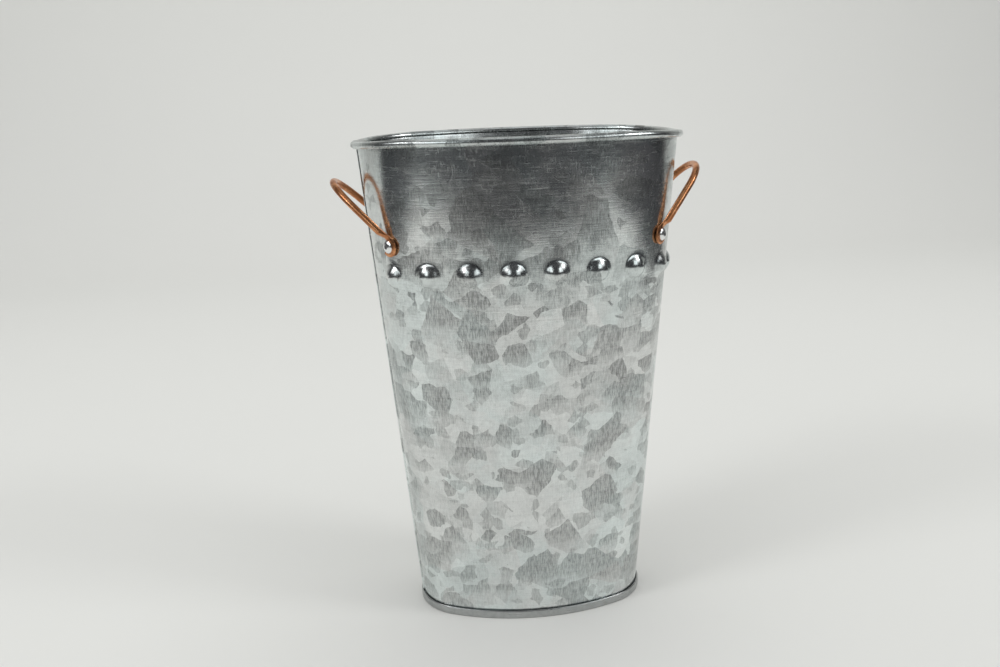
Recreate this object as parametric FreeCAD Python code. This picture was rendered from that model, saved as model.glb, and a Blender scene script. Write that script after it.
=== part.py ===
import FreeCAD, Part
import math
import os

V = FreeCAD.Vector

# Oval tapered flower bucket in galvanised sheet, with a rolled rim, a seamed base
# and two riveted wire handles. Millimetres, +Z up, the long way of the oval along X.
# The origin is on the floor at the middle of the bucket.

# Outer oval at floor level: two end arcs and two side arcs, tangent where they meet.
END_RADIUS = 24.0          # radius of the narrow ends
END_CENTRE = 30.5          # distance of an end arc's centre from the middle, along X
SIDE_CENTRE = 67.0         # distance of a side arc's centre from the middle, along Y
TAPER = 0.0825             # how far the wall leans out for each millimetre of height
HEIGHT = 230.0             # floor to the top of the rim
SHEET = 0.5                # thickness of the sheet

# Rolled rim, as offsets from the outer face of the wall.
BEAD_RADIUS = 1.65
BEAD_OFFSET = 0.9
BEAD_SLIT = 0.35           # gap between the curl's free edge and the wall
WIRE_RADIUS = 1.05         # wire inside the curl

# Foot of the wall and the base that wraps it.
WALL_FOOT = 0.6            # height of the wall's lower edge
FLANGE_REACH = 0.85        # how far the wall's foot is turned outwards
BAND_REACH = 1.5           # outer face of the base band, beyond the wall's foot
BAND_HEIGHT = 4.0
FLOOR_HEIGHT = 3.4         # top face of the base plate
FIT_GAP = 0.05             # gap between sheets that lie on each other

# Lock seam at the narrow end on the -X side.
SEAM_WIDTH = 7.0
SEAM_PROUD = 1.0
SEAM_TOP = 226.0
SEAM_ROOT = 0.25           # how far the strip reaches into the wall
SEAM_SWEEP = 40.0          # degrees of ring from which the strip is cut
SEAM_DEPTH = 92.0          # reach of the box that keeps the strip, along X

# Row of embossed studs, placed along the oval from the middle of the front (-Y).
STUD_COUNT = 18
STUD_PITCH = 19.0
STUD_FIRST = -65.0
STUD_RADIUS = 5.2
STUD_PROUD = 2.9
STUD_ROOT = 0.45           # how far a stud's own ball reaches into the sheet
STUD_HEIGHT = 171.5
STUD_CROWN = 1.6           # the row rises this much on the long sides and drops at the ends
HOLE_DEPTH = 2.0           # length of the cutter for a rivet hole
HOLE_START = 1.5           # how far inside the wall that cutter starts

# Handles: a wire arch in a leaning plane, its ends flattened and riveted to the wall.
RIVET_HEIGHT = 184.5
RIVET_ANGLE = 40.5         # direction of the wall at a rivet, from the long axis
HANDLE_WIRE = 1.6          # wire radius
RIGHT_LEAN = 43.4          # degrees from upright
LEFT_LEAN = 46.0           # this handle is bent out a little further
HANDLE_REACH = 31.7        # knee to the middle of the arch's top, in its own plane
ARCH_RADIUS = 17.0
LUG_RADIUS = 4.6
LUG_THICKNESS = 1.3
LUG_NECK = 7.0             # length of wire that lies along the wall above a rivet
BEND_RADIUS = 5.0
BORE_REACH = 14.0          # length of the cutter for a lug's hole
WEDGE_LOW = 3.2            # where the lug starts to thicken into the wire, above the rivet
WEDGE_HIGH = 6.9           # where it is as thick as the wire
WEDGE_HALF_WIDTH = 3.45    # half width of the lug where the wedge starts
WEDGE_THICKNESS = 2.7      # thickness of the wedge where it meets the wire

# Blind rivets.
RIVET_HOLE = 1.65
RIVET_SHANK = 1.6
RIVET_HEAD = 2.9
RIVET_HEAD_RISE = 1.3
RIVET_BRIM = 0.35          # thickness of the head at its edge
RIVET_LIP = 0.1            # flat ring round the hole in the head
DOME_REACH = 1.8           # a point half way over the dome: distance from the axis
DOME_RISE = 1.08           # and height above the seat
RIVET_BULB = 2.3
BULB_MIDDLE = 1.44         # depth of the bulb's widest place
BULB_START = 0.06          # depth at which the shank starts to swell
BULB_END = 0.25            # wall of the bulb where it closes on the pin
RIVET_TAIL = 3.2           # length of the bulb inside the bucket
PIN_RADIUS = 0.85
PIN_GAP = 0.02
PIN_SINK = 0.45            # depth of the pin's broken end below the top of the head
PIN_HEAD = 1.4             # radius and height of the head that swells the bulb
PIN_HEAD_EDGE = 0.7        # height of the head's straight side
PIN_HEAD_TIP = 0.84        # radius of the head's end

JOIN_TOLERANCE = 0.0005    # how near two surfaces are taken to meet when a stud is joined
MERGE_GAP = 0.001          # runs shorter than this are left out of a path

SIDE_RADIUS = END_RADIUS + math.hypot(END_CENTRE, SIDE_CENTRE)
JOIN_ANGLE = math.degrees(math.atan2(SIDE_CENTRE, END_CENTRE))
WALL_THICKNESS = SHEET * math.sqrt(1.0 + TAPER ** 2)
BEAD_HEIGHT = HEIGHT - BEAD_RADIUS
CURL_FOOT = BEAD_HEIGHT - 3.0 * BEAD_RADIUS    # where the plain wall ends and the rim begins
FOOT_TOP = 3.0 * BAND_HEIGHT                   # where the wall's foot ends
STUD_BALL = (STUD_RADIUS ** 2 + STUD_PROUD ** 2) / (2.0 * STUD_PROUD)


def arcs():
    """The oval's four arcs: centre, radius at the floor, first direction, angle swept."""
    end_sweep = 2.0 * JOIN_ANGLE
    side_sweep = 180.0 - end_sweep
    return [
        (V(END_CENTRE, 0, 0), END_RADIUS, -JOIN_ANGLE, end_sweep),
        (V(0, -SIDE_CENTRE, 0), SIDE_RADIUS, JOIN_ANGLE, side_sweep),
        (V(-END_CENTRE, 0, 0), END_RADIUS, 180.0 - JOIN_ANGLE, end_sweep),
        (V(0, SIDE_CENTRE, 0), SIDE_RADIUS, 180.0 + JOIN_ANGLE, side_sweep),
    ]


def wall_offset(z):
    """Outer face of the wall at a height, as an offset from the oval at the floor."""
    return TAPER * z


def polygon(points):
    """A flat face in the XZ plane from (offset, height) pairs."""
    corners = [V(offset, 0, z) for offset, z in points]
    return Part.Face(Part.makePolygon(corners + corners[:1]))


def disc(offset, z, radius):
    """A round face in the XZ plane."""
    circle = Part.makeCircle(radius, V(offset, 0, z), V(0, 1, 0))
    return Part.Face(Part.Wire(circle))


def round_oval(profile):
    """Carry an (offset, height) profile round the whole oval and join the four runs."""
    runs = []
    for centre, radius, start, sweep in arcs():
        section = profile.copy()
        section.translate(V(radius, 0, 0))
        run = section.revolve(V(0, 0, 0), V(0, 0, 1), sweep)
        run.rotate(V(0, 0, 0), V(0, 0, 1), start)
        run.translate(centre)
        runs.append(run)
    return runs[0].fuse(runs[1:]).removeSplitter()


def filled_oval(inset, low, high):
    """The solid inside the wall's outer face, drawn in by inset, between two heights."""
    levels = []
    for z in (low, high):
        edges = []
        for centre, radius, start, sweep in arcs():
            reach = radius + wall_offset(z) - inset
            lift = V(0, 0, z)
            angles = [math.radians(start + part * sweep) for part in (0.0, 0.5, 1.0)]
            ends = [centre + lift + V(reach * math.cos(a), reach * math.sin(a), 0) for a in angles]
            edges.append(Part.Arc(*ends).toShape())
        levels.append(Part.Wire(edges))
    return Part.makeLoft(levels, True, True)


def oval_place(distance, z):
    """Point and outward direction on the wall's outer face, a distance round the oval.

    Distance is measured from the middle of the front, positive towards +X."""
    half_side = math.radians(90.0 - JOIN_ANGLE)
    half_end = math.radians(JOIN_ANGLE)
    side = SIDE_RADIUS + wall_offset(z)
    end = END_RADIUS + wall_offset(z)
    quarter = side * half_side + end * half_end
    rest = distance % (4.0 * quarter)
    turn = -math.pi / 2.0
    for reach, angle in ((side, half_side), (end, 2 * half_end), (side, 2 * half_side),
                         (end, 2 * half_end), (side, half_side)):
        if rest <= reach * angle:
            turn += rest / reach
            break
        rest -= reach * angle
        turn += angle
    return wall_point(math.degrees(turn), z)


def wall_point(degrees, z):
    """Point and outward direction on the wall's outer face, by the way the wall looks."""
    across = V(math.cos(math.radians(degrees)), math.sin(math.radians(degrees)), 0)
    on_end = abs(across.y) * END_CENTRE <= abs(across.x) * SIDE_CENTRE
    if on_end:
        centre = V(math.copysign(END_CENTRE, across.x), 0, z)
        radius = END_RADIUS
    else:
        centre = V(0, -math.copysign(SIDE_CENTRE, across.y), z)
        radius = SIDE_RADIUS
    normal = V(across.x, across.y, -TAPER)
    normal.normalize()
    return centre + across * (radius + wall_offset(z)), normal


def stud_places():
    """Foot and direction of each stud, with the row crowned on the long sides."""
    places = []
    for index in range(STUD_COUNT):
        distance = STUD_FIRST + index * STUD_PITCH
        _, level = oval_place(distance, STUD_HEIGHT)
        z = STUD_HEIGHT + STUD_CROWN * (2.0 * abs(level.y) - 1.0)
        places.append(oval_place(distance, z))
    return places


def rim_profile():
    """The curl at the top, joined to the last of the wall."""
    foot = CURL_FOOT
    centre = wall_offset(BEAD_HEIGHT) + BEAD_OFFSET
    sheet = polygon([
        (wall_offset(foot) - WALL_THICKNESS, foot),
        (wall_offset(foot), foot),
        (wall_offset(BEAD_HEIGHT), BEAD_HEIGHT),
        (wall_offset(BEAD_HEIGHT) - WALL_THICKNESS, BEAD_HEIGHT),
    ])
    curl = disc(centre, BEAD_HEIGHT, BEAD_RADIUS).fuse(sheet).removeSplitter()
    curl = curl.cut(disc(centre, BEAD_HEIGHT, BEAD_RADIUS - SHEET))
    slit = polygon([
        (wall_offset(foot), foot),
        (wall_offset(foot) + BEAD_SLIT, foot),
        (wall_offset(BEAD_HEIGHT) + BEAD_SLIT, BEAD_HEIGHT),
        (wall_offset(BEAD_HEIGHT), BEAD_HEIGHT),
    ])
    return curl.cut(slit).removeSplitter().Faces[0]


def foot_profile():
    """The wall's lower edge, turned outwards inside the base seam."""
    high = FOOT_TOP
    return polygon([
        (wall_offset(WALL_FOOT) - WALL_THICKNESS, WALL_FOOT),
        (wall_offset(WALL_FOOT) + FLANGE_REACH, WALL_FOOT),
        (wall_offset(WALL_FOOT) + FLANGE_REACH, WALL_FOOT + SHEET),
        (wall_offset(WALL_FOOT + SHEET), WALL_FOOT + SHEET),
        (wall_offset(high), high),
        (wall_offset(high) - WALL_THICKNESS, high),
    ])


def sheet_profile():
    """The plain stretch of the wall between its foot and its rim."""
    return polygon([
        (wall_offset(FOOT_TOP) - WALL_THICKNESS, FOOT_TOP),
        (wall_offset(FOOT_TOP), FOOT_TOP),
        (wall_offset(CURL_FOOT), CURL_FOOT),
        (wall_offset(CURL_FOOT) - WALL_THICKNESS, CURL_FOOT),
    ])


def side_seam():
    """The folded lock seam, a strip that stands out from the narrow end."""
    low = BAND_HEIGHT + FIT_GAP
    strip = polygon([
        (wall_offset(low) - SEAM_ROOT, low),
        (wall_offset(low) + SEAM_PROUD, low),
        (wall_offset(SEAM_TOP) + SEAM_PROUD, SEAM_TOP),
        (wall_offset(SEAM_TOP) - SEAM_ROOT, SEAM_TOP),
    ])
    strip.translate(V(END_RADIUS, 0, 0))
    ring = strip.revolve(V(0, 0, 0), V(0, 0, 1), SEAM_SWEEP)
    ring.rotate(V(0, 0, 0), V(0, 0, 1), 180.0 - SEAM_SWEEP / 2.0)
    ring.translate(V(-END_CENTRE, 0, 0))
    keep = Part.makeBox(SEAM_DEPTH, SEAM_WIDTH, HEIGHT)
    keep.translate(V(-END_CENTRE - SEAM_DEPTH, -SEAM_WIDTH / 2.0, 0))
    return ring.common(keep)


def stud_segment(radius, depth):
    """Part of a stud's ball from its top down to a depth under the wall's face."""
    drop = STUD_BALL - STUD_PROUD
    low = drop - depth
    half_width = math.sqrt(radius ** 2 - low ** 2)
    top = V(0, 0, radius - drop)
    edge = V(half_width, 0, -depth)
    turn = (math.pi / 2.0 + math.asin(low / radius)) / 2.0
    middle = V(radius * math.cos(turn), 0, radius * math.sin(turn) - drop)
    foot = V(0, 0, -depth)
    edges = [
        Part.LineSegment(foot, edge).toShape(),
        Part.Arc(edge, middle, top).toShape(),
        Part.LineSegment(top, foot).toShape(),
    ]
    return Part.Face(Part.Wire(edges))


def bucket_wall():
    """Wall, curl, seam strip and hollow studs, with the rivet holes through it."""
    wall = round_oval(sheet_profile())
    wall = wall.fuse([round_oval(foot_profile()), round_oval(rim_profile()), side_seam()])
    wall = wall.removeSplitter()
    for foot, outward in stud_places():
        ball = along(stud_segment(STUD_BALL, STUD_ROOT), foot, outward)
        hollow = along(stud_segment(STUD_BALL - SHEET, STUD_BALL - STUD_PROUD), foot, outward)
        wall = wall.fuse([ball], JOIN_TOLERANCE).cut([hollow], JOIN_TOLERANCE)
    for foot, outward in rivet_places().values():
        hole = Part.makeCylinder(RIVET_HOLE, HOLE_DEPTH, foot - outward * HOLE_START, outward)
        wall = wall.cut(hole)
    return wall


def rim_wire():
    """The wire inside the curl."""
    centre = wall_offset(BEAD_HEIGHT) + BEAD_OFFSET
    return round_oval(disc(centre, BEAD_HEIGHT, WIRE_RADIUS))


def base_pan():
    """Base plate, with its edge turned down, under and up round the wall's foot."""
    inner = -WALL_THICKNESS - FIT_GAP
    lip = BAND_HEIGHT - SHEET
    edge = polygon([
        (wall_offset(0) + inner - SHEET, 0),
        (BAND_REACH, 0),
        (BAND_REACH, BAND_HEIGHT),
        (wall_offset(BAND_HEIGHT) + FIT_GAP, BAND_HEIGHT),
        (wall_offset(lip) + FIT_GAP, lip),
        (BAND_REACH - SHEET, lip),
        (BAND_REACH - SHEET, SHEET),
        (wall_offset(SHEET) + inner, SHEET),
        (wall_offset(FLOOR_HEIGHT) + inner, FLOOR_HEIGHT),
        (wall_offset(FLOOR_HEIGHT) + inner - SHEET, FLOOR_HEIGHT),
    ])
    plate = filled_oval(-inner + 0.5 * SHEET, FLOOR_HEIGHT - SHEET, FLOOR_HEIGHT)
    return round_oval(edge).fuse(plate).removeSplitter()


def base_seam_sealant():
    """Sealing compound in the hollow of the base seam."""
    low = WALL_FOOT + SHEET + FIT_GAP
    high = BAND_HEIGHT - SHEET - FIT_GAP
    outer = BAND_REACH - SHEET - FIT_GAP
    return round_oval(polygon([
        (wall_offset(low) + FIT_GAP, low),
        (outer, low),
        (outer, high),
        (wall_offset(high) + FIT_GAP, high),
    ]))


def rivet_places():
    """Foot and direction of the four rivets, by the names of their nodes."""
    return {
        "right_front": wall_point(-RIVET_ANGLE, RIVET_HEIGHT),
        "right_back": wall_point(RIVET_ANGLE, RIVET_HEIGHT),
        "left_back": wall_point(180.0 - RIVET_ANGLE, RIVET_HEIGHT),
        "left_front": wall_point(180.0 + RIVET_ANGLE, RIVET_HEIGHT),
    }


def rounded_path(points, radii):
    """A wire of straight runs through the points, with a tangent arc at each corner."""
    edges = []
    last = points[0]
    for before, corner, after, radius in zip(points, points[1:], points[2:], radii):
        back = (before - corner).normalize()
        ahead = (after - corner).normalize()
        half = back.getAngle(ahead) / 2.0
        reach = radius / math.tan(half)
        start = corner + back * reach
        end = corner + ahead * reach
        middle_way = (back + ahead).normalize()
        middle = corner + middle_way * (radius / math.sin(half) - radius)
        if last.distanceToPoint(start) > MERGE_GAP:
            edges.append(Part.LineSegment(last, start).toShape())
        edges.append(Part.Arc(start, middle, end).toShape())
        last = end
    edges.append(Part.LineSegment(last, points[-1]).toShape())
    return Part.Wire(edges)


def arch_corner(half_span):
    """Height of the corner where a leg's line and the arch's top line would meet.

    The arch is two legs and a round top. Each leg leaves its foot at half_span and
    touches the circle of the top, so the corner lies on the top's tangent."""
    centre_rise = HANDLE_REACH - ARCH_RADIUS
    distance = math.hypot(half_span, centre_rise)
    turn = math.atan2(centre_rise, half_span) + math.asin(ARCH_RADIUS / distance)
    return half_span - HANDLE_REACH / math.tan(turn)


def wire_handle(degrees):
    """Wire arch at the +X end with two flattened, pierced ends, leaning out from upright."""
    foot, outward = rivet_places()["right_front"]
    foot_back, outward_back = rivet_places()["right_back"]
    lean = math.radians(degrees)
    up_plane = V(math.sin(lean), 0, math.cos(lean))
    up_wall = V(0, 0, 1) - outward * outward.z
    up_wall.normalize()
    up_wall_back = V(0, 0, 1) - outward_back * outward_back.z
    up_wall_back.normalize()
    lift = outward * HANDLE_WIRE
    lift_back = outward_back * HANDLE_WIRE
    start = foot + lift + up_wall * LUG_RADIUS
    finish = foot_back + lift_back + up_wall_back * LUG_RADIUS
    knee = foot + lift + up_wall * LUG_NECK
    knee_back = foot_back + lift_back + up_wall_back * LUG_NECK
    corner_y = arch_corner(abs(knee.y))
    shoulder = V(knee.x, -corner_y, knee.z) + up_plane * HANDLE_REACH
    shoulder_back = V(knee.x, corner_y, knee.z) + up_plane * HANDLE_REACH
    path = rounded_path(
        [start, knee, shoulder, shoulder_back, knee_back, finish],
        [BEND_RADIUS, ARCH_RADIUS, ARCH_RADIUS, BEND_RADIUS],
    )
    section = Part.Wire(Part.makeCircle(HANDLE_WIRE, start, up_wall))
    handle = path.makePipeShell([section], True, True)
    pieces = []
    for place, normal, up in ((foot, outward, up_wall), (foot_back, outward_back, up_wall_back)):
        pieces.append(flattened_end(place, normal, up))
    handle = handle.fuse(pieces)
    for place, normal in ((foot, outward), (foot_back, outward_back)):
        handle = handle.cut(Part.makeCylinder(RIVET_HOLE, BORE_REACH, place, normal))
    return handle.removeSplitter()


def flattened_end(place, normal, up):
    """Round lug with a wedge that carries the flattened wire up into the round wire."""
    lug = Part.makeCylinder(LUG_RADIUS, LUG_THICKNESS, place, normal)
    side = normal.cross(up)
    low = place + up * WEDGE_LOW
    high = place + up * WEDGE_HIGH
    levels = []
    for base, half_width, thickness in ((low, WEDGE_HALF_WIDTH, LUG_THICKNESS),
                                        (high, HANDLE_WIRE, WEDGE_THICKNESS)):
        corners = [base - side * half_width, base + side * half_width,
                   base + side * half_width + normal * thickness,
                   base - side * half_width + normal * thickness]
        levels.append(Part.makePolygon(corners + corners[:1]))
    return lug.fuse(Part.makeLoft(levels, True, True))


def half_turn(shape):
    """The same piece at the other narrow end."""
    turned = shape.copy()
    turned.rotate(V(0, 0, 0), V(0, 0, 1), 180.0)
    return turned


def along(profile, place, normal):
    """Turn an (offset, depth) profile about the rivet's axis and stand it on the wall."""
    solid = profile.revolve(V(0, 0, 0), V(0, 0, 1), 360.0)
    solid.Placement = FreeCAD.Placement(place, FreeCAD.Rotation(V(0, 0, 1), normal))
    return solid


def rivet_profile():
    """Half section of the rivet: domed head, shank, and the bulb drawn up inside."""
    bore = PIN_RADIUS + PIN_GAP
    seat = LUG_THICKNESS + FIT_GAP
    inner = -WALL_THICKNESS - FIT_GAP
    crown_start = V(RIVET_HEAD, 0, seat + RIVET_BRIM)
    crown_end = V(bore + RIVET_LIP, 0, seat + RIVET_HEAD_RISE)
    crown_middle = V(DOME_REACH, 0, seat + DOME_RISE)
    bulb_low = V(bore + BULB_END, 0, inner - RIVET_TAIL)
    bulb_middle = V(RIVET_BULB, 0, inner - BULB_MIDDLE)
    bulb_high = V(RIVET_SHANK, 0, inner - BULB_START)
    corners = [V(bore, 0, inner - RIVET_TAIL), V(bore, 0, crown_end.z)]
    edges = [
        Part.LineSegment(corners[0], corners[1]).toShape(),
        Part.LineSegment(corners[1], crown_end).toShape(),
        Part.Arc(crown_end, crown_middle, crown_start).toShape(),
        Part.LineSegment(crown_start, V(RIVET_HEAD, 0, seat)).toShape(),
        Part.LineSegment(V(RIVET_HEAD, 0, seat), V(RIVET_SHANK, 0, seat)).toShape(),
        Part.LineSegment(V(RIVET_SHANK, 0, seat), bulb_high).toShape(),
        Part.Arc(bulb_high, bulb_middle, bulb_low).toShape(),
        Part.LineSegment(bulb_low, corners[0]).toShape(),
    ]
    return Part.Face(Part.Wire(edges))


def pin_profile():
    """Half section of the pin that stays in the rivet, with its head below the bulb."""
    top = LUG_THICKNESS + FIT_GAP + RIVET_HEAD_RISE - PIN_SINK
    low = -WALL_THICKNESS - FIT_GAP - RIVET_TAIL - PIN_GAP
    return polygon([
        (0, top),
        (PIN_RADIUS, top),
        (PIN_RADIUS, low),
        (PIN_HEAD, low),
        (PIN_HEAD, low - PIN_HEAD_EDGE),
        (PIN_HEAD_TIP, low - PIN_HEAD),
        (0, low - PIN_HEAD),
    ])


def parts():
    """Every node by name."""
    nodes = {
        "bucket_wall": bucket_wall(),
        "rim_wire": rim_wire(),
        "base_pan": base_pan(),
        "base_seam_sealant": base_seam_sealant(),
        "right_handle": wire_handle(RIGHT_LEAN),
        "left_handle": half_turn(wire_handle(LEFT_LEAN)),
    }
    for name, (place, normal) in rivet_places().items():
        nodes[name + "_rivet"] = along(rivet_profile(), place, normal)
        nodes[name + "_rivet_pin"] = along(pin_profile(), place, normal)
    return nodes


def main():
    os.makedirs("parts", exist_ok=True)
    for name, shape in parts().items():
        if not shape.isValid():
            raise ValueError(name + " is not a valid shape")
        shape.exportStep("parts/" + name + ".step")
        print(name, len(shape.Solids), "solid(s)", round(shape.Volume, 1), "mm3")


main()
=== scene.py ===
import math

import bpy
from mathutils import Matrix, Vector


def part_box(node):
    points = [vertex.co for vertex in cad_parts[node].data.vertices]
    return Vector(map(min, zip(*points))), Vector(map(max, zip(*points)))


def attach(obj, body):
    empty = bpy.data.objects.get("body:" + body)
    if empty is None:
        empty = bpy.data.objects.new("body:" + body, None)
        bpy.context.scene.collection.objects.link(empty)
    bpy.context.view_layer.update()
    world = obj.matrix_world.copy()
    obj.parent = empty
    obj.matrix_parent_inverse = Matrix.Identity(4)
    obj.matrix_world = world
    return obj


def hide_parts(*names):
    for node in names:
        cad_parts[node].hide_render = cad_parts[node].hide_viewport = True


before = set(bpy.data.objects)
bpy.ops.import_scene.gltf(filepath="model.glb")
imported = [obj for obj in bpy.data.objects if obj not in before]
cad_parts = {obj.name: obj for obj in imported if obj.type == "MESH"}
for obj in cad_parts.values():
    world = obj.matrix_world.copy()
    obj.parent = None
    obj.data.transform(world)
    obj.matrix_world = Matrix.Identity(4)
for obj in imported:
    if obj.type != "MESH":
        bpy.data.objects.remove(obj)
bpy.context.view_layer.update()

MM = 0.001

# Sizes are in millimetres, unless a comment says otherwise.

# The oval of the bucket's outer face, the same as the CAD wall's: two end arcs and two side arcs.
END_RADIUS = 24.0
END_CENTRE = 30.5
SIDE_CENTRE = 67.0
SIDE_RADIUS = END_RADIUS + math.hypot(END_CENTRE, SIDE_CENTRE)
JOIN_ANGLE = math.atan2(SIDE_CENTRE, END_CENTRE)
START = -END_CENTRE - END_RADIUS        # the foot's outer face at the -X end, where each round starts
TAPER = 0.0825
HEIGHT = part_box("bucket_wall")[1].z / MM
SHEET = 0.5
WALL_PITCH = 1.0                        # width of one column of the mesh, round the oval
MERGE_GAP = 0.01

# Rolled rim. It stands higher on the long sides than at the ends.
BEAD_RADIUS = 1.65
BEAD_OFFSET = 0.9
BEAD_HEIGHT = HEIGHT - BEAD_RADIUS
BEAD_START = math.radians(215.0)
BEAD_END = math.radians(-102.0)
BEAD_STEPS = 28
RIM_CROWN = 0.95
RIM_CROWN_POWER = 4                     # how quickly the crown fades down the wall
CROWN_EASE = 0.15

# Where the curl passes over the seam it is fatter, and its two ends stand apart.
CURL_GAP = 0.7
CURL_SWELL = 0.28
CURL_SWELL_REACH = 3.6
CURL_SWELL_EASE = 1.6
CURL_END_REACH = 1.0                    # faces this near the seam belong to the curl's two ends,
CURL_JOIN = 0.05                        # and points this near it are on their edges

# Heights of the mesh's rows below the studs, and above them to where the curl begins.
LOW_ROWS = (1.0, 8.0, 30.0, 60.0, 90.0, 120.0, 145.0)
HIGH_ROWS = (190.0, 205.0, 218.0, 224.5, 226.4, 227.2)

# Row of embossed studs.
STUD_COUNT = 18
STUD_PITCH = 19.0
STUD_FIRST = -65.0                      # the first stud's distance round from the middle of the front
STUD_RADIUS = 4.9
STUD_PROUD = 2.45
STUD_HEIGHT = 170.2
STUD_CROWN = 1.6
STUD_BLEND = 0.55                       # how softly a stud runs out into the sheet
STUD_BAND = 9.0
STUD_ROW = 0.85
STUD_BALL = (STUD_RADIUS ** 2 + STUD_PROUD ** 2) / (2.0 * STUD_PROUD)
STUD_FINE = 1.35 * STUD_RADIUS          # the mesh is finer up to here
STUD_END = 1.5 * STUD_RADIUS            # a stud has no more effect from here
STUD_FADE = 0.35 * STUD_RADIUS
STUD_SEARCH = 1.6 * STUD_RADIUS

# Base: its section as (distance out from the foot, height), from the plate round to the plate.
PAN_PITCH = 1.5
PAN_INSET = -6.0
PAN_RING = 4.2                          # points further in than this border the plate's middle
PAN_SECTION = (
    (PAN_INSET, 3.4), (-0.7, 3.4), (0.2, 3.0), (0.62, 3.0),                  # plate and groove
    (0.66, 3.62), (0.74, 3.85), (0.88, 3.98), (1.08, 4.02), (1.28, 3.96),    # round top of the band
    (1.42, 3.82), (1.5, 3.6), (1.54, 2.0), (1.5, 0.45),                      # face of the band
    (1.4, 0.2), (1.2, 0.05), (1.0, 0.0), (-0.8, 0.0), (-1.0, 0.08),          # edge that it stands on
    (-1.08, 0.3), (-1.1, 2.5), (-1.35, 2.9), (PAN_INSET, 2.9),               # inner face and underside
)

# Wire in the rim.
WIRE_RADIUS = 1.05
WIRE_SIDES = 12
WIRE_PITCH = 2.0

# Lock seam up the -X end: its folded outline as (distance along the wall, height above it).
SEAM_LOW = 4.1
SEAM_TOP = 226.6
SEAM_ROWS = 12
SEAM_OUTLINE = (
    (-3.5, -0.3), (-3.5, 0.2), (-3.4, 0.36), (-3.2, 0.5), (-2.8, 0.6),
    (0.0, 0.66), (2.8, 0.62), (3.15, 0.58), (3.38, 0.5), (3.5, 0.38),
    (3.1, 0.32), (3.45, 0.27), (3.5, 0.2), (3.5, -0.3),
)

# Handles. Each is bent a little differently: lean from upright in degrees, reach from the knee
# to the middle of the arch's top, radius of that top, height of the knee above the rivet.
HANDLE_BENDS = {"right": (39.8, 33.1, 17.8, 2.8), "left": (45.0, 33.0, 21.0, 3.6)}
HANDLE_WIRE = 1.6
HANDLE_ROUNDNESS = 5                    # Blender's measure for a round wire
ARCH_STEPS = 20
RIVET_HEIGHT = 184.5
RIVET_TURN = math.radians(40.5)

# The eye at each end of a handle: an open turn round the rivet, in degrees from straight up.
EYE_START = 225
EYE_END = 40
EYE_STEP = 10
EYE_RADIUS = 3.2
EYE_THICKNESS = 1.3
EYE_FLAT = 4.0                          # the wire is flat up to here from the rivet,
EYE_ROUND = 6.8                         # and round again from here
KNEE_REACH = 4.5
KNEE_STEPS = 6

# Camera: its place, its turns about X, Y and Z in degrees, and its lens.
CAMERA_PLACE = Vector((-46.60, -441.72, 250.48))
CAMERA_TURNS = (75.4458, 1.9337, -5.0801)
FILM_WIDTH = 36.0
LENS = 34.12

# Paper that the bucket stands on, which turns up into a backdrop.
PAPER_FRONT = -4000.0
PAPER_BACK = 900.0
PAPER_BEND = 500.0
PAPER_BEND_STEPS = 12
PAPER_TOP = 3500.0
PAPER_WIDTH = 8000.0
PAPER_COLOUR = (0.80, 0.805, 0.78, 1)

# Black cloths on the floor, from one corner to the other.
CLOTH_COLOUR = (0.06, 0.06, 0.065, 1)
CLOTH_HEIGHT = 1.0
CLOTHS = {
    "front_cloth": ((-4000, -4000), (4000, -575)),
    "left_cloth": ((-4000, -590), (-660, 220)),
    "right_cloth": ((620, -590), (4000, 500)),
}

# Bright cards before the bucket: the way to each, in degrees from the front towards +X, and the
# angle that it fills.
CARDS = {"left_card": (-39, 20), "right_card": (36, 27)}
CARD_DISTANCE = 1500.0
CARD_LOW = 280.0
CARD_TOP = 1150.0
CARD_GLOW = 0.95
CEILING_HEIGHT = 2500.0
CEILING_SIZE = 2600.0
CEILING_GLOW = 0.25

# Soft lights: the way to each, in degrees as above, then distance, height, width, tallness, watts.
LAMPS = {
    "left_box": (-62, 1500, 1000, 1300, 900, 3.2),
    "left_core": (-66, 1450, 1120, 380, 380, 5),
    "right_box": (60, 1500, 1000, 1100, 900, 2.4),
    "right_core": (68, 1450, 1120, 380, 380, 5),
    "back_wash": (140, 390, 1500, 900, 500, 4.2),
    "top_box": (-90, 250, 1900, 2400, 2000, 13.6),
}
LAMP_AIM = 120.0                        # height on the bucket that the lights look at
LAMP_LEANS = {"back_wash": 46, "top_box": 14}

# The room round the studio: its light, how it looks in the metal, and how it looks itself.
ROOM_LIGHT = (0.26, 0.26, 0.26, 1)
ROOM_IN_METAL = (0.06, 0.06, 0.063, 1)
ROOM_SEEN = (0.62, 0.62, 0.59, 1)
STUDIO_DRIFT = 400.0                    # size of the slow change of tone in the studio's surfaces


# ---------------------------------------------------------------- oval

def oval_point(turn, z):
    """Point on the wall's outer face and its outward direction, for the way that the wall looks."""
    across, along = math.cos(turn), math.sin(turn)
    if abs(along) * END_CENTRE <= abs(across) * SIDE_CENTRE:
        centre = Vector((math.copysign(END_CENTRE, across), 0, z))
        radius = END_RADIUS
    else:
        centre = Vector((0, -math.copysign(SIDE_CENTRE, along), z))
        radius = SIDE_RADIUS
    out = Vector((across, along, 0))
    return centre + out * (radius + TAPER * z), Vector((across, along, -TAPER)).normalized()


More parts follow.
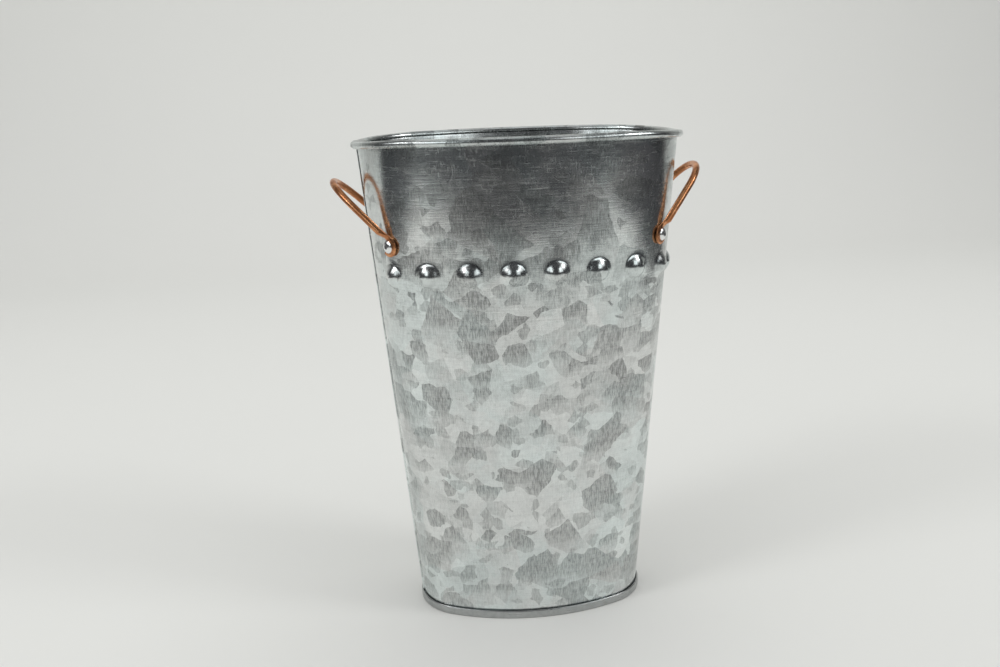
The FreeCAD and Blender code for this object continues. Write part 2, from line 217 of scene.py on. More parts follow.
def oval_turn(distance, z):
    """The way the wall looks at a distance round the oval from the middle of the front."""
    side = SIDE_RADIUS + TAPER * z
    end = END_RADIUS + TAPER * z
    half_side, half_end = math.pi / 2 - JOIN_ANGLE, JOIN_ANGLE
    runs = ((side, half_side), (end, 2 * half_end), (side, 2 * half_side),
            (end, 2 * half_end), (side, half_side))
    rest = distance % sum(radius * sweep for radius, sweep in runs)
    turn = -math.pi / 2
    for radius, sweep in runs:
        if rest <= radius * sweep:
            return turn + rest / radius
        rest -= radius * sweep
        turn += sweep
    return turn


def crown(turn, amount):
    """How far the rim or the stud row rises on the long sides and drops at the ends."""
    flat = math.sqrt(1 + CROWN_EASE ** 2) - CROWN_EASE
    share = (math.sqrt(math.sin(turn) ** 2 + CROWN_EASE ** 2) - CROWN_EASE) / flat
    return amount * (2 * share - 1)


def wall_turn(point):
    """The way the wall looks at a point near it, in millimetres."""
    for centre in (Vector((END_CENTRE, 0)), Vector((-END_CENTRE, 0))):
        away = point.xy - centre
        if abs(away.y) * END_CENTRE <= away.x * math.copysign(1, centre.x) * SIDE_CENTRE:
            return math.atan2(away.y, away.x)
    away = point.xy + Vector((0, math.copysign(SIDE_CENTRE, point.y)))
    return math.atan2(away.y, away.x)


def clamp(value):
    return min(max(value, 0.0), 1.0)


# ---------------------------------------------------------------- modelling helpers

def clear_selection():
    if bpy.context.object and bpy.context.object.mode != "OBJECT":
        bpy.ops.object.mode_set(mode="OBJECT")
    bpy.ops.object.select_all(action="DESELECT")


def flat_piece(name, size):
    """A square flat piece round the origin, selected on its own."""
    clear_selection()
    bpy.ops.mesh.primitive_plane_add(size=size * MM)
    piece = bpy.context.object
    piece.name = piece.data.name = name
    return piece


def draw_line(name, places):
    """A line drawn from point to point by extruding, left in edit mode."""
    piece = flat_piece(name, 1.0)
    bpy.ops.object.mode_set(mode="EDIT")
    bpy.ops.mesh.select_mode(type="VERT")
    bpy.ops.mesh.select_all(action="SELECT")
    bpy.ops.mesh.merge(type="CENTER")
    bpy.ops.transform.translate(value=places[0] * MM)
    for last, place in zip(places, places[1:]):
        bpy.ops.mesh.extrude_region_move(TRANSFORM_OT_translate={"value": (place - last) * MM})
    return piece


def spin_round_oval(piece, pitch, z):
    """Carry the whole line round the oval in five runs, from the -X end back to it."""
    bpy.ops.mesh.select_all(action="SELECT")
    side_sweep = math.pi - 2 * JOIN_ANGLE
    runs = (
        (Vector((-END_CENTRE, 0, 0)), JOIN_ANGLE, END_RADIUS),
        (Vector((0, -SIDE_CENTRE, 0)), side_sweep, SIDE_RADIUS),
        (Vector((END_CENTRE, 0, 0)), 2 * JOIN_ANGLE, END_RADIUS),
        (Vector((0, SIDE_CENTRE, 0)), side_sweep, SIDE_RADIUS),
        (Vector((-END_CENTRE, 0, 0)), JOIN_ANGLE, END_RADIUS),
    )
    for centre, sweep, radius in runs:
        steps = round((radius + TAPER * z) * sweep / pitch)
        bpy.ops.mesh.spin(steps=steps, angle=sweep, center=centre * MM, axis=(0, 0, 1))
    bpy.ops.object.mode_set(mode="OBJECT")


def unmarked_mesh(piece):
    """The piece's mesh, out of edit mode, with nothing on it selected."""
    bpy.ops.object.mode_set(mode="OBJECT")
    mesh = piece.data
    for parts in (mesh.vertices, mesh.edges, mesh.polygons):
        for part in parts:
            part.select = False
    return mesh


def select_points(piece, test):
    """Select the points for which test(place in millimetres) holds."""
    for point in unmarked_mesh(piece).vertices:
        point.select = test(point.co / MM)
    bpy.ops.object.mode_set(mode="EDIT")
    bpy.ops.mesh.select_mode(type="VERT")


def select_faces(piece, test):
    """Select the faces whose middle, in millimetres, passes the test."""
    for face in unmarked_mesh(piece).polygons:
        face.select = test(face.center / MM)
    bpy.ops.object.mode_set(mode="EDIT")
    bpy.ops.mesh.select_mode(type="FACE")


def merge_doubles(piece, test):
    """Join the points that meet, among those that pass the test."""
    select_points(piece, test)
    bpy.ops.mesh.remove_doubles(threshold=MERGE_GAP * MM)
    bpy.ops.object.mode_set(mode="OBJECT")


def turn_outwards(piece):
    """Turn all the faces of a piece outwards."""
    bpy.ops.object.mode_set(mode="EDIT")
    bpy.ops.mesh.select_all(action="SELECT")
    bpy.ops.mesh.normals_make_consistent(inside=False)
    bpy.ops.object.mode_set(mode="OBJECT")


def thicken(piece, thickness):
    """Give a surface its thickness, half to each side."""
    bpy.context.view_layer.objects.active = piece
    modifier = piece.modifiers.new("Solidify", "SOLIDIFY")
    modifier.thickness = thickness * MM
    modifier.offset = 0.0
    modifier.use_even_offset = True
    bpy.ops.object.modifier_apply(modifier=modifier.name)


def smooth(piece, degrees=40.0):
    """Shade a piece smooth over all but the edges that bend more than this."""
    clear_selection()
    piece.select_set(True)
    bpy.context.view_layer.objects.active = piece
    bpy.ops.object.shade_smooth_by_angle(angle=math.radians(degrees))


def finish_piece(piece, material, node):
    """Give a finished piece its material and the CAD node that it stands for."""
    piece.data.materials.clear()
    piece.data.materials.append(material)
    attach(piece, "root")
    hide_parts(node)


# ---------------------------------------------------------------- wall

def stud_feet():
    """Foot and outward direction of each stud."""
    feet = []
    for index in range(STUD_COUNT):
        distance = STUD_FIRST + index * STUD_PITCH
        z = STUD_HEIGHT + crown(oval_turn(distance, STUD_HEIGHT), STUD_CROWN)
        feet.append(oval_point(oval_turn(distance, z), z))
    return feet


def raise_stud(place, feet):
    """Put a point of the sheet on the wall's own surface, or on the stud that it belongs to."""
    face, out = oval_point(wall_turn(place), place.z)
    place = face - out * SHEET / 2
    ball = STUD_BALL - SHEET / 2
    for foot, outward in feet:
        away = place - foot
        if away.length > STUD_SEARCH:
            continue
        rise = away.dot(outward)
        reach = (away - outward * rise).length
        top = math.sqrt(max(ball ** 2 - reach ** 2, 0.0)) - (STUD_BALL - STUD_PROUD)
        lift = math.sqrt((rise - top) ** 2 + 4 * STUD_BLEND ** 2)
        raised = (rise + top + lift) / 2
        place = place + outward * (raised - rise) * clamp((STUD_END - reach) / STUD_FADE)
    return place


def sheet_line():
    """The middle of the sheet from the foot up and round the curl, at the -X end."""
    low, high = STUD_HEIGHT - STUD_BAND, STUD_HEIGHT + STUD_BAND
    rows = round((high - low) / STUD_ROW)
    stud_rows = [low + (high - low) * row / rows for row in range(rows + 1)]
    places = []
    for z in (*LOW_ROWS, *stud_rows, *HIGH_ROWS):
        places.append(Vector((START - (TAPER * z - SHEET / 2), 0, z)))
    centre = TAPER * BEAD_HEIGHT + BEAD_OFFSET
    reach = BEAD_RADIUS - SHEET / 2
    for step in range(BEAD_STEPS + 1):
        turn = BEAD_START + (BEAD_END - BEAD_START) * step / BEAD_STEPS
        out = centre + reach * math.cos(turn)
        places.append(Vector((START - out, 0, BEAD_HEIGHT + reach * math.sin(turn))))
    return places


def bucket_wall(material):
    """Tapered oval sheet with its rolled rim and its row of hollow studs."""
    piece = draw_line("wall", sheet_line())
    spin_round_oval(piece, WALL_PITCH, STUD_HEIGHT)
    merge_doubles(piece, lambda place: place.z < BEAD_HEIGHT - BEAD_RADIUS)
    feet = stud_feet()
    select_faces(piece, lambda place: any((place - foot).length < STUD_FINE for foot, _ in feet))
    bpy.ops.mesh.subdivide(number_cuts=1)
    bpy.ops.object.mode_set(mode="OBJECT")

    for point in piece.data.vertices:
        place = point.co / MM
        if abs(place.z - STUD_HEIGHT) < STUD_BAND + STUD_ROW:
            place = raise_stud(place, feet)
        place.z += crown(wall_turn(place), RIM_CROWN) * (place.z / HEIGHT) ** RIM_CROWN_POWER
        point.co = place * MM
    open_bead(piece)
    turn_outwards(piece)
    thicken(piece, SHEET)
    smooth(piece)
    finish_piece(piece, material, "bucket_wall")


def open_bead(piece):
    """Part the curl's two ends a little, and swell it over the seam."""
    points = piece.data.vertices
    low = BEAD_HEIGHT - BEAD_RADIUS
    parted = set()
    for face in piece.data.polygons:
        middle = face.center / MM
        if middle.z <= low or middle.x >= -END_CENTRE or abs(middle.y) >= CURL_END_REACH:
            continue
        for index in face.vertices:
            point = points[index]
            if abs(point.co.y) < CURL_JOIN * MM and index not in parted:
                parted.add(index)
                point.co.y += math.copysign(CURL_GAP * MM, middle.y)
    for point in points:
        place = point.co / MM
        if place.z < low or place.x > -END_CENTRE:
            continue
        share = clamp((CURL_SWELL_REACH - abs(place.y)) / CURL_SWELL_EASE)
        middle, out = oval_point(wall_turn(place), BEAD_HEIGHT)
        middle += Vector((out.x, out.y, 0)) * BEAD_OFFSET
        middle.z += crown(math.pi, RIM_CROWN)
        away = place - middle
        away.y = 0.0
        point.co = (place + away * CURL_SWELL * share) * MM


def side_seam(material):
    """The folded lock seam that closes the wall up its -X end."""
    low = END_RADIUS + TAPER * SEAM_LOW
    line = []
    for along, rise in SEAM_OUTLINE:
        turn = along / low
        reach = low + rise
        line.append(Vector((-END_CENTRE - reach * math.cos(turn), reach * math.sin(turn), SEAM_LOW)))
    piece = draw_line("side_seam", line)
    bpy.ops.mesh.select_all(action="SELECT")
    step = (SEAM_TOP - SEAM_LOW) / SEAM_ROWS
    for _ in range(SEAM_ROWS):
        bpy.ops.mesh.extrude_region_move(TRANSFORM_OT_translate={"value": (0, 0, step * MM)})
    bpy.ops.object.mode_set(mode="OBJECT")

    # The strip is straight so far: lean each point out with the wall, at its own distance along.
    for point in piece.data.vertices:
        place = point.co / MM
        away = place.xy + Vector((END_CENTRE, 0))
        along = math.atan2(away.y, -away.x) * low
        rise = away.length - low
        reach = END_RADIUS + TAPER * place.z
        turn = along / reach
        place.x = -END_CENTRE - (reach + rise) * math.cos(turn)
        place.y = (reach + rise) * math.sin(turn)
        point.co = place * MM
    turn_outwards(piece)
    smooth(piece, 50)
    finish_piece(piece, material, "bucket_wall")


def rim_wire(material):
    """The wire that the sheet is curled round."""
    centre = Vector((START - TAPER * BEAD_HEIGHT - BEAD_OFFSET, 0, BEAD_HEIGHT))
    ring = []
    for step in range(WIRE_SIDES + 1):
        turn = 2 * math.pi * step / WIRE_SIDES
        ring.append(centre + Vector((math.cos(turn), 0, math.sin(turn))) * WIRE_RADIUS)
    piece = draw_line("rim_core", ring)
    bpy.ops.mesh.select_all(action="SELECT")
    bpy.ops.mesh.remove_doubles(threshold=MERGE_GAP * MM)
    spin_round_oval(piece, WIRE_PITCH, BEAD_HEIGHT)
    merge_doubles(piece, lambda place: True)
    for point in piece.data.vertices:
        point.co.z += crown(wall_turn(point.co / MM), RIM_CROWN) * MM
    turn_outwards(piece)
    smooth(piece)
    finish_piece(piece, material, "rim_wire")


# ---------------------------------------------------------------- base

def on_inner_ring(place):
    """Whether a point is on the ring that borders the middle of the base plate."""
    edge, _ = oval_point(wall_turn(place), 0)
    return edge.xy.length - place.xy.length > PAN_RING


def base_pan(material):
    """Pressed base: a plate whose edge turns down, under and up round the wall's foot."""
    line = [Vector((START - offset, 0, z)) for offset, z in PAN_SECTION]
    piece = draw_line("base", line)
    spin_round_oval(piece, PAN_PITCH, 0)
    merge_doubles(piece, lambda place: True)
    for z in (PAN_SECTION[0][1], PAN_SECTION[-1][1]):
        select_points(piece, lambda place: abs(place.z - z) < MERGE_GAP and on_inner_ring(place))
        bpy.ops.mesh.edge_face_add()
        bpy.ops.object.mode_set(mode="OBJECT")
    turn_outwards(piece)
    smooth(piece, 50)
    finish_piece(piece, material, "base_pan")


# ---------------------------------------------------------------- handles

def rivet_frame():
    """Foot of the right front rivet, the way out of the wall, up it, and along it to the front."""
    foot, out = oval_point(-RIVET_TURN, RIVET_HEIGHT)
    up = (Vector((0, 0, 1)) - out * out.z).normalized()
    return foot, out, up, out.cross(up)


def handle_line(lean, reach, radius, neck):
    """The right wire's middle, from the front eye's free end over the arch to the back eye's."""
    foot, out, up, side = rivet_frame()
    knee = foot + out * HANDLE_WIRE + up * neck
    half = -knee.y
    rise = reach - radius
    distance = math.hypot(half, rise)
    leg_turn = math.atan2(rise, half) + math.asin(radius / distance)
    leg = math.sqrt(distance ** 2 - radius ** 2)
    touch = (-half + leg * math.cos(leg_turn), leg * math.sin(leg_turn))
    tilt = Vector((math.sin(math.radians(lean)), 0, math.cos(math.radians(lean))))

    def on_arch(y, rise_here):
        return Vector((knee.x, y, knee.z)) + tilt * rise_here

    line = []
    for degrees in range(EYE_START, EYE_END - 1, -EYE_STEP):
        turn = math.radians(degrees)
        line.append(foot + out * HANDLE_WIRE
                    + (up * math.cos(turn) + side * math.sin(turn)) * EYE_RADIUS)

    # The knee bends the wire from the eye into the leg, which runs straight to the arch.
    leg_end = on_arch(*touch)
    bend_start = line[-1]
    bend_end = knee + (leg_end - knee).normalized() * KNEE_REACH
    for step in range(1, KNEE_STEPS + 1):
        share = step / KNEE_STEPS
        line.append(bend_start * (1 - share) ** 2 + knee * 2 * share * (1 - share)
                    + bend_end * share ** 2)
    line.append(bend_end.lerp(leg_end, 0.5))
    first = math.atan2(touch[1] - rise, touch[0]) % (2 * math.pi)
    for step in range(ARCH_STEPS + 1):
        turn = first + (math.pi / 2 - first) * step / ARCH_STEPS
        line.append(on_arch(radius * math.cos(turn), rise + radius * math.sin(turn)))
    back = [Vector((place.x, -place.y, place.z)) for place in reversed(line[:-1])]
    return line + back


def flatten_end(place, foot, out):
    """Press a point of the wire towards the wall, fully near the rivet and less beyond it."""
    away = place - foot
    rise = away.dot(out)
    from_rivet = (away - out * rise).length
    share = clamp((EYE_ROUND - from_rivet) / (EYE_ROUND - EYE_FLAT))
    share = share * share * (3 - 2 * share)
    thinner = 1 - share * (1 - EYE_THICKNESS / (2 * HANDLE_WIRE))
    return place + out * (rise * thinner - rise)


def wire_handle(side, material):
    """Copper wire bent to an arch, each end flattened and turned into an open eye."""
    draw_line(side + "_wire_handle", handle_line(*HANDLE_BENDS[side]))
    bpy.ops.object.mode_set(mode="OBJECT")
    bpy.ops.object.convert(target="CURVE")
    curve = bpy.context.object.data
    curve.bevel_depth = HANDLE_WIRE * MM
    curve.bevel_resolution = HANDLE_ROUNDNESS
    curve.use_fill_caps = True
    bpy.ops.object.convert(target="MESH")
    piece = bpy.context.object
    foot, out, _, _ = rivet_frame()
    for point in piece.data.vertices:
        place = point.co / MM
        back = place.y > 0
        place.y = -abs(place.y)
        place = flatten_end(place, foot, out)
        if back:
            place.y = -place.y
        if side == "left":
            place.x, place.y = -place.x, -place.y
        point.co = place * MM
    turn_outwards(piece)
    smooth(piece, 50)
    finish_piece(piece, material, side + "_handle")


# ---------------------------------------------------------------- tools for finishes

class Amount:
    """A value that changes over a surface. Sums and products of it add Math nodes."""

    def __init__(self, finish, socket):
        self.finish = finish
        self.socket = socket

    def reckon(self, operation, *values):
        """Put one sum on these values or amounts."""
        made = self.finish.node("Math", {"operation": operation}, dict(enumerate(values)))
        return Amount(self.finish, made.outputs[0])

    def __add__(self, other):
        return self.reckon("ADD", self, other)

    def __sub__(self, other):
        return self.reckon("SUBTRACT", self, other)

    def __rsub__(self, other):
        return self.reckon("SUBTRACT", other, self)

    def __mul__(self, other):
        return self.reckon("MULTIPLY", self, other)

    def __truediv__(self, other):
        return self.reckon("DIVIDE", self, other)

    __radd__ = __add__
    __rmul__ = __mul__

    def larger(self, other):
        return self.reckon("MAXIMUM", self, other)

    def swing(self, amount):
        """The same pattern, to either side of nought."""
        return (self - 0.5) * amount


class Finish:
    """A material and the nodes that make it up."""

    def __init__(self, name):
        self.material = bpy.data.materials.new(name)
        self.material.use_nodes = True
        self.nodes = self.material.node_tree.nodes
        self.links = self.material.node_tree.links
        self.shader = self.nodes["Principled BSDF"]
        self.place = self.node("TexCoord", {}, {}).outputs["Object"]

    def node(self, kind, settings, sockets):
        """Add a node: its kind, its settings, and the values or links of its sockets."""
        made = self.nodes.new("ShaderNode" + kind)
        for name, value in settings.items():
            setattr(made, name, value)
        for name, value in sockets.items():
            self.feed(made.inputs[name], value)
        return made

    def feed(self, socket, value):
        if isinstance(value, Amount):
            value = value.socket
        if isinstance(value, bpy.types.NodeSocket):
            self.links.new(value, socket)
        else:
            socket.default_value = value

    def stretched(self, stretch):
        """The place on the piece, for a pattern drawn out along the ways with a small number."""
        return self.node("Mapping", {}, {"Vector": self.place, "Scale": stretch}).outputs["Vector"]

    def noise(self, size, detail=2.0, rough=0.5, place=None, seed=0.0):
        sockets = {"Vector": place or self.place, "W": seed, "Scale": 1 / (size * MM),
                   "Detail": detail, "Roughness": rough}
        made = self.node("TexNoise", {"noise_dimensions": "4D"}, sockets)
        return Amount(self, made.outputs["Fac"])

    def ramp(self, value, low, high, start=0.0, end=1.0):
        """A soft step from start to end, as the value goes from low to high."""
        sockets = {"Value": value, "From Min": low, "From Max": high, "To Min": start, "To Max": end}
        made = self.node("MapRange", {"interpolation_type": "SMOOTHSTEP"}, sockets)
        return Amount(self, made.outputs["Result"])

    def blend(self, share, first, second, way="MIX"):
        """One colour laid over another. The Mix node keeps its colours at sockets 6, 7 and 2."""
        made = self.node("Mix", {"data_type": "RGBA", "blend_type": way}, {0: share, 6: first, 7: second})
        return made.outputs[2]

    def parts(self, vector):
        """The three numbers of a place or a colour."""
        made = self.node("SeparateXYZ", {}, {"Vector": vector})
        return [Amount(self, made.outputs[name]) for name in "XYZ"]

    def ragged(self, size, amount):
        """The place on the piece, moved about so that straight edges in a pattern go ragged."""
        drift = self.node("TexNoise", {}, {"Vector": self.place, "Scale": 1 / (size * MM), "Detail": 2.0})
        middle = self.node("VectorMath", {"operation": "SUBTRACT"},
                           {0: drift.outputs["Color"], 1: (0.5, 0.5, 0.5)})
        moved = self.node("VectorMath", {"operation": "SCALE"}, {0: middle.outputs[0], "Scale": amount * MM})
        made = self.node("VectorMath", {"operation": "ADD"}, {0: self.place, 1: moved.outputs[0]})
        return made.outputs[0]

    def crystals(self, place, size, seed):
        """Per crystal: three random amounts, and the height above its own middle in sizes."""
        offset = self.node("VectorMath", {"operation": "ADD"}, {0: place, 1: (seed, seed, seed)})
        made = self.node("TexVoronoi", {"voronoi_dimensions": "3D", "feature": "F1"},
                         {"Vector": offset.outputs[0], "Scale": 1 / (size * MM), "Randomness": 1.0})
        red, green, blue = self.parts(made.outputs["Color"])
        here = self.parts(offset.outputs[0])[2]
        middle = self.parts(made.outputs["Position"])[2]
        return red, green, blue, (here - middle) / (size * MM)

    def crystal_layer(self, place, size, seed, grey_from, dark_from, grey_share, wander, faint):
        """How dark each crystal of one size is, fading to faint at its foot, and its other amounts."""
        tone, kind, hue, rise = self.crystals(place, size, seed)
        grey = self.ramp(tone, grey_from, grey_from + 0.03) * grey_share
        dark = self.ramp(tone, dark_from, dark_from + 0.02) * (1 - grey_share)
        fade = self.ramp(rise + kind.swing(wander), -0.5, 0.2, faint, 1.0)
        return (grey + dark) * fade, kind, hue

    def bump(self, height, depth, normal=None):
        sockets = {"Height": height, "Distance": depth * MM, "Strength": 1.0}
        if normal is not None:
            sockets["Normal"] = normal
        return self.node("Bump", {}, sockets).outputs["Normal"]

    def done(self, colour, roughness, normal=None, **constants):
        """Feed the surface's sockets, set its constants, and hand over the material."""
        self.feed(self.shader.inputs["Base Color"], colour)
        self.feed(self.shader.inputs["Roughness"], roughness)
        if normal is not None:
            self.feed(self.shader.inputs["Normal"], normal)
        for name, value in constants.items():
            self.shader.inputs[name.replace("_", " ")].default_value = value
        return self.material


# ---------------------------------------------------------------- finishes

def galvanised_finish():
    """Zinc-coated sheet: crystals of several greys, with a fine grain and rolling marks."""
    finish = Finish("galvanised_sheet")
    ragged = finish.ragged(7.0, 4.0)
    large, large_kind, large_hue = finish.crystal_layer(
        ragged, 15.0, 0.31, grey_from=0.45, dark_from=0.72, grey_share=0.25, wander=0.5, faint=0.35)
    small, small_kind, _ = finish.crystal_layer(
        ragged, 8.5, 0.77, grey_from=0.58, dark_from=0.77, grey_share=0.35, wander=0.6, faint=0.45)
    fine = finish.ramp(finish.crystals(ragged, 4.5, 0.13)[0], 0.80, 0.83) * 0.7
    dark = large.larger(small.larger(fine))

    # Fine upright lines in the crystals, level lines of the rolling, blotches and slow changes.
    grain = finish.noise(0.45, 2.0, 0.6, finish.stretched((1, 1, 0.12)), seed=1.0)
    streaks = finish.noise(0.6, 3.0, 0.6, finish.stretched((0.06, 0.06, 1)), seed=2.0)
    cloud = finish.noise(26.0, 3.0, 0.55, seed=3.0)
    mottle = finish.noise(2.2, 5.0, 0.7, seed=4.0)

    # Rubbing marks, level and upright, where the sheet is worn.
    level_marks = finish.noise(0.38, 2.0, 0.6, finish.stretched((0.05, 0.05, 1)), seed=6.0)
    upright_marks = finish.noise(0.38, 2.0, 0.6, finish.stretched((1, 1, 0.06)), seed=7.0)
    worn = finish.ramp(finish.noise(9.0, 3.0, 0.6, seed=8.0), 0.36, 0.60)
    marks = finish.ramp(level_marks.larger(upright_marks), 0.54, 0.70) * worn

    # The curl is duller, and the wall is painted lighter towards its foot: painted light standing in for the
    # bright floor that the foot reflects.
    height = finish.parts(finish.place)[2]
    curl = finish.ramp(height, (BEAD_HEIGHT - 3) * MM, (BEAD_HEIGHT - 2) * MM)
    painted_foot_light = finish.ramp(height, 0.0, 85 * MM, 0.09, 0.0)

    grain_share = finish.ramp(grain, 0.36, 0.64, -1.0, 1.0)
    # Painted light: the shade is lessened towards the foot, so the wall is painted lighter there.
    shade = dark * 0.38 + grain_share * (dark * 0.12 + 0.03) - painted_foot_light
    shade = shade + mottle.swing(0.34) + streaks.swing(0.24) + cloud.swing(0.10)
    shade = shade + small_kind.swing(0.07) + large_kind.swing(0.07) + curl * 0.12
    light = 1 - shade
    hue = finish.ramp(cloud + large_hue.swing(0.2), 0.35, 0.65)
    tint = finish.blend(hue, (0.708, 0.760, 0.756, 1), (0.735, 0.750, 0.744, 1))
    grey = finish.node("CombineColor", {}, {"Red": light, "Green": light, "Blue": light})
    colour = finish.blend(1.0, tint, grey.outputs[0], "MULTIPLY")

    roughness = 0.168 + dark * 0.05 + mottle.swing(0.26) + streaks.swing(0.22)
    roughness = roughness + grain.swing(0.14) + marks * 0.12 + curl * 0.06
    normal = finish.bump(finish.noise(24.0, 1.0, 0.4, seed=5.0), 0.5)
    normal = finish.bump(streaks + grain * (dark * 0.8 + 0.6), 0.02, normal)
    return finish.done(colour, roughness, normal, Metallic=1.0)


def pressed_zinc_finish():
    """Zinc on the pressed base, greyed and scuffed by the press."""
    finish = Finish("pressed_zinc")
    mottle = finish.noise(2.5, 4.0, 0.65, seed=1.0)
    rubbed = finish.noise(0.9, 3.0, 0.6, finish.stretched((0.08, 0.08, 1)), seed=2.0)
    colour = finish.blend(mottle, (0.33, 0.345, 0.345, 1), (0.58, 0.59, 0.585, 1))
    return finish.done(colour, 0.30 + rubbed.swing(0.25), finish.bump(rubbed, 0.02), Metallic=1.0)


def copper_finish():
    """Copper-coated wire: bright on the crowns, browner and duller in patches."""
    finish = Finish("copper_coat")
    patches = finish.noise(5.0, 3.0, 0.6, seed=1.0)
    fine = finish.noise(0.6, 3.0, 0.6, seed=2.0)
    worn = finish.ramp(patches + fine.swing(0.3), 0.42, 0.62)
    colour = finish.blend(worn, (0.45, 0.18, 0.078, 1), (0.70, 0.33, 0.16, 1))
    roughness = 0.34 - worn * 0.10 + fine.swing(0.15)
    return finish.done(colour, roughness, finish.bump(fine, 0.02), Metallic=1.0)


def aluminium_finish():
    """Bright rivet heads with faint tool marks."""
    finish = Finish("bright_aluminium")
    marks = finish.noise(0.5, 3.0, 0.6, seed=1.0)
    colour = finish.blend(marks, (0.80, 0.81, 0.82, 1), (0.92, 0.92, 0.91, 1))
    return finish.done(colour, 0.14 + marks * 0.14, finish.bump(marks, 0.01), Metallic=1.0)


def dark_steel_finish():
    """Broken rivet pins and the wire in the curl."""
    finish = Finish("dull_steel")
    marks = finish.noise(0.4, 3.0, 0.6, seed=1.0)
    colour = finish.blend(marks, (0.12, 0.12, 0.125, 1), (0.28, 0.28, 0.28, 1))
    return finish.done(colour, 0.3 + marks * 0.2, finish.bump(marks, 0.02), Metallic=1.0)


def sealant_finish():
    """Grey sealing compound in the base seam."""
    finish = Finish("grey_sealant")
    marks = finish.noise(1.2, 3.0, 0.6, seed=1.0)
    colour = finish.blend(marks, (0.05, 0.052, 0.055, 1), (0.11, 0.11, 0.11, 1))
    return finish.done(colour, 0.5 + marks * 0.2, finish.bump(marks, 0.05))


def dress(node, material):
    """Put a material on a CAD node."""
    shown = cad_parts[node]
    if not shown.material_slots:
        shown.data.materials.append(material)
    for held in shown.material_slots:
        held.material = material


# ---------------------------------------------------------------- studio

def plain(name, colour):
    """A dull studio surface whose tone hardly changes."""
    finish = Finish(name)
    darker = tuple(0.985 * value for value in colour[:3]) + (1,)
    tone = finish.blend(finish.noise(STUDIO_DRIFT, seed=1.0), colour, darker)
    return finish.done(tone, 0.8, Specular_IOR_Level=0.1)


def glowing(name, strength):
    """Soft bluish white light from a whole surface."""
    finish = Finish(name)
    finish.shader.inputs["Emission Strength"].default_value = strength
    glow = finish.blend(finish.noise(STUDIO_DRIFT, seed=1.0), (0.85, 0.95, 1.0, 1), (0.95, 1.0, 1.0, 1))
    finish.feed(finish.shader.inputs["Emission Color"], glow)
    return finish.material


def only_for_metal(piece, material):
    """A piece of the studio that shows in the metal and nowhere else."""
    piece.data.materials.append(material)
    piece.visible_camera = piece.visible_diffuse = piece.visible_shadow = False


def paper():
    """Pale paper on the floor that turns up into a backdrop behind the bucket."""
    line = [Vector((0, PAPER_FRONT, 0)), Vector((0, PAPER_BACK, 0))]
    for step in range(1, PAPER_BEND_STEPS + 1):
        turn = math.pi / 2 * step / PAPER_BEND_STEPS
        line.append(Vector((0, PAPER_BACK + PAPER_BEND * math.sin(turn), PAPER_BEND * (1 - math.cos(turn)))))
    line.append(Vector((0, PAPER_BACK + PAPER_BEND, PAPER_TOP)))
    piece = draw_line("floor", line)
    bpy.ops.mesh.select_all(action="SELECT")
    bpy.ops.transform.translate(value=(-PAPER_WIDTH / 2 * MM, 0, 0))
    bpy.ops.mesh.extrude_region_move(TRANSFORM_OT_translate={"value": (PAPER_WIDTH * MM, 0, 0)})
    bpy.ops.object.mode_set(mode="OBJECT")
    smooth(piece, 60)
    piece.data.materials.append(plain("pale_paper", PAPER_COLOUR))


def cloth(name, low, high):
    """A black cloth on the floor, off the paper."""
    piece = flat_piece(name, 1.0)
    for point in piece.data.vertices:
        point.co.x = (low, high)[point.co.x > 0][0] * MM
        point.co.y = (low, high)[point.co.y > 0][1] * MM
        point.co.z = CLOTH_HEIGHT * MM
    only_for_metal(piece, plain(name, CLOTH_COLOUR))


def bright_card(name, azimuth, spread):
    """A bright card that stands on edge before the bucket."""
    turn = math.radians(azimuth)
    half = CARD_DISTANCE * math.tan(math.radians(spread / 2))
    piece = flat_piece(name, 1.0)
    for point in piece.data.vertices:
        along = math.copysign(half, point.co.x)
        point.co.z = (CARD_LOW, CARD_TOP)[point.co.y > 0] * MM
        point.co.x = (math.sin(turn) * CARD_DISTANCE + math.cos(turn) * along) * MM
        point.co.y = (-math.cos(turn) * CARD_DISTANCE + math.sin(turn) * along) * MM
    only_for_metal(piece, glowing(name, CARD_GLOW))


def ceiling():
    """The dim ceiling of the room, which shows in the inside of the bucket."""
    piece = flat_piece("ceiling", CEILING_SIZE)
    for point in piece.data.vertices:
        point.co.z = CEILING_HEIGHT * MM
    only_for_metal(piece, glowing("ceiling", CEILING_GLOW))


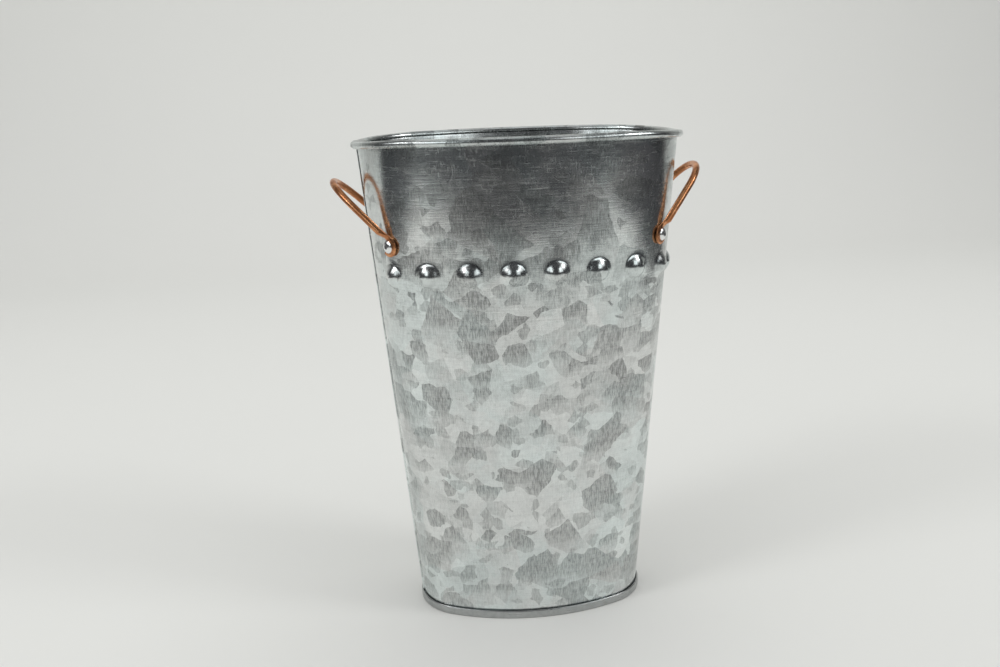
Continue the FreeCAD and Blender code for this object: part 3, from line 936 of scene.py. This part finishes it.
def softbox(name, azimuth, distance, height, width, tall, power):
    """A soft light that faces the bucket, or leans from straight down towards the backdrop."""
    clear_selection()
    turn = math.radians(azimuth)
    place = Vector((math.sin(turn) * distance, -math.cos(turn) * distance, height)) * MM
    bpy.ops.object.light_add(type="AREA", location=place)
    lamp = bpy.context.object
    lamp.name = name
    lamp.data.shape = "RECTANGLE"
    lamp.data.size = width * MM
    lamp.data.size_y = tall * MM
    lamp.data.energy = power
    if name in LAMP_LEANS:
        lamp.rotation_euler = (math.radians(LAMP_LEANS[name]), 0, 0)
        lamp.visible_glossy = False
    else:
        aim = Vector((0, 0, LAMP_AIM)) * MM - place
        lamp.rotation_euler = aim.to_track_quat("-Z", "Y").to_euler()


def room():
    """What lies round the studio: brighter as light and to the eye than it looks in the metal."""
    world = bpy.data.worlds.new("studio")
    bpy.context.scene.world = world
    world.use_nodes = True
    nodes, links = world.node_tree.nodes, world.node_tree.links
    path = nodes.new("ShaderNodeLightPath")
    lit = nodes.new("ShaderNodeMixRGB")
    lit.inputs["Color1"].default_value = ROOM_LIGHT
    lit.inputs["Color2"].default_value = ROOM_IN_METAL
    links.new(path.outputs["Is Glossy Ray"], lit.inputs["Fac"])
    seen = nodes.new("ShaderNodeMixRGB")
    seen.inputs["Color2"].default_value = ROOM_SEEN
    links.new(path.outputs["Is Camera Ray"], seen.inputs["Fac"])
    links.new(lit.outputs[0], seen.inputs["Color1"])
    links.new(seen.outputs[0], nodes["Background"].inputs["Color"])


def studio():
    paper()
    for name, corners in CLOTHS.items():
        cloth(name, *corners)
    for name, sizes in LAMPS.items():
        softbox(name, *sizes)
    ceiling()
    for name, angles in CARDS.items():
        bright_card(name, *angles)
    room()


def camera():
    """A little above the rim and to the left of the middle, looking slightly down."""
    turns = [math.radians(turn) for turn in CAMERA_TURNS]
    bpy.ops.object.camera_add(location=CAMERA_PLACE * MM, rotation=turns)
    view = bpy.context.object
    view.data.sensor_width = FILM_WIDTH
    view.data.lens = LENS
    view.data.clip_start = 10 * MM
    view.data.clip_end = 30000 * MM
    bpy.context.scene.camera = view


def main():
    camera()
    zinc = galvanised_finish()
    copper = copper_finish()
    aluminium = aluminium_finish()
    steel = dark_steel_finish()
    bucket_wall(zinc)
    side_seam(zinc)
    rim_wire(steel)
    base_pan(pressed_zinc_finish())
    dress("base_seam_sealant", sealant_finish())
    for side in ("left", "right"):
        wire_handle(side, copper)
        for end in ("front", "back"):
            dress(f"{side}_{end}_rivet", aluminium)
            dress(f"{side}_{end}_rivet_pin", steel)
    studio()
    bpy.context.scene.view_settings.view_transform = "Standard"


main()
